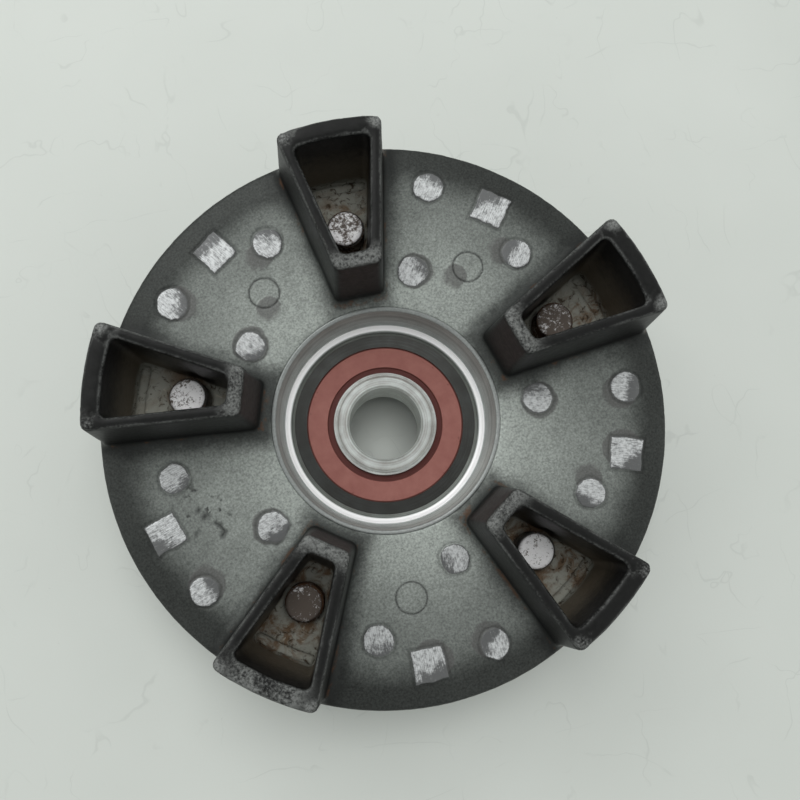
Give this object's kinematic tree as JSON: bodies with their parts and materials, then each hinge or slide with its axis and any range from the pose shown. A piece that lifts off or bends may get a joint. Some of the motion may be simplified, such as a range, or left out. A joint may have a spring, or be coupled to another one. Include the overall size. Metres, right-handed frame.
{
  "type": "rear sprocket carrier",
  "caption": "Round cast sprocket carrier with hollow wedge dogs for rubber dampers, threaded studs for a chain sprocket and a sealed ball bearing in its hub.",
  "frame": {"origin": "on the axle axis, in the plane that the sprocket seats on", "axes": "+Z along the axle, away from the sprocket towards the wheel hub; +Y through the first dog"},
  "size_m": [0.151, 0.151, 0.073],
  "materials": {
    "cast_aluminium": "satin dark coated casting",
    "stud_steel": "zinc plated, corroded",
    "bearing_steel": "ground",
    "ball_steel": "polished",
    "cage_steel": "pressed",
    "seal_rubber": "matte red-brown",
    "dust_rubber": "matte black",
    "spring_steel": "drawn"
  },
  "bodies": {
    "carrier": {"carrier": "cast_aluminium", "stud_1": "stud_steel", "stud_2": "stud_steel", "stud_3": "stud_steel", "stud_4": "stud_steel", "stud_5": "stud_steel", "bearing_outer_ring": "bearing_steel", "seal_rubber_wheel_side": "seal_rubber", "seal_core_wheel_side": "cage_steel", "seal_rubber_sprocket_side": "seal_rubber", "seal_core_sprocket_side": "cage_steel", "dust_seal_rubber": "dust_rubber", "dust_seal_case": "cage_steel", "dust_seal_spring": "spring_steel"},
    "inner_ring": {"bearing_inner_ring": "bearing_steel"},
    "cage": {"cage_wheel_side": "cage_steel", "cage_sprocket_side": "cage_steel", "cage_rivets": "cage_steel"},
    "ball_1": {"ball_1": "ball_steel"},
    "ball_2": {"ball_2": "ball_steel"},
    "ball_3": {"ball_3": "ball_steel"},
    "ball_4": {"ball_4": "ball_steel"},
    "ball_5": {"ball_5": "ball_steel"},
    "ball_6": {"ball_6": "ball_steel"},
    "ball_7": {"ball_7": "ball_steel"}
  },
  "joints": [
    {"name": "inner_ring_spin", "type": "hinge", "parent": "carrier", "child": "inner_ring", "pos_m": [0, 0, 0.0037], "axis": [0, 0, 1], "continuous": true},
    {"name": "cage_spin", "type": "hinge", "parent": "carrier", "child": "cage", "pos_m": [0, 0, 0.0037], "axis": [0, 0, 1], "continuous": true},
    {"name": "ball_1_spin", "type": "hinge", "parent": "cage", "child": "ball_1", "pos_m": [0, 0.018, 0.0037], "axis": [0, 0, 1], "continuous": true},
    {"name": "ball_2_spin", "type": "hinge", "parent": "cage", "child": "ball_2", "pos_m": [-0.01407, 0.01122, 0.0037], "axis": [0, 0, 1], "continuous": true},
    {"name": "ball_3_spin", "type": "hinge", "parent": "cage", "child": "ball_3", "pos_m": [-0.01755, -0.00401, 0.0037], "axis": [0, 0, 1], "continuous": true},
    {"name": "ball_4_spin", "type": "hinge", "parent": "cage", "child": "ball_4", "pos_m": [-0.00781, -0.01622, 0.0037], "axis": [0, 0, 1], "continuous": true},
    {"name": "ball_5_spin", "type": "hinge", "parent": "cage", "child": "ball_5", "pos_m": [0.00781, -0.01622, 0.0037], "axis": [0, 0, 1], "continuous": true},
    {"name": "ball_6_spin", "type": "hinge", "parent": "cage", "child": "ball_6", "pos_m": [0.01755, -0.00401, 0.0037], "axis": [0, 0, 1], "continuous": true},
    {"name": "ball_7_spin", "type": "hinge", "parent": "cage", "child": "ball_7", "pos_m": [0.01407, 0.01122, 0.0037], "axis": [0, 0, 1], "continuous": true}
  ],
  "couplings": [
    {"joint": "cage_spin", "follows": "inner_ring_spin", "ratio": 0.36771},
    {"joint": "ball_1_spin", "follows": "inner_ring_spin", "ratio": -1.7575},
    {"joint": "ball_2_spin", "follows": "inner_ring_spin", "ratio": -1.7575},
    {"joint": "ball_3_spin", "follows": "inner_ring_spin", "ratio": -1.7575},
    {"joint": "ball_4_spin", "follows": "inner_ring_spin", "ratio": -1.7575},
    {"joint": "ball_5_spin", "follows": "inner_ring_spin", "ratio": -1.7575},
    {"joint": "ball_6_spin", "follows": "inner_ring_spin", "ratio": -1.7575},
    {"joint": "ball_7_spin", "follows": "inner_ring_spin", "ratio": -1.7575}
  ]
}
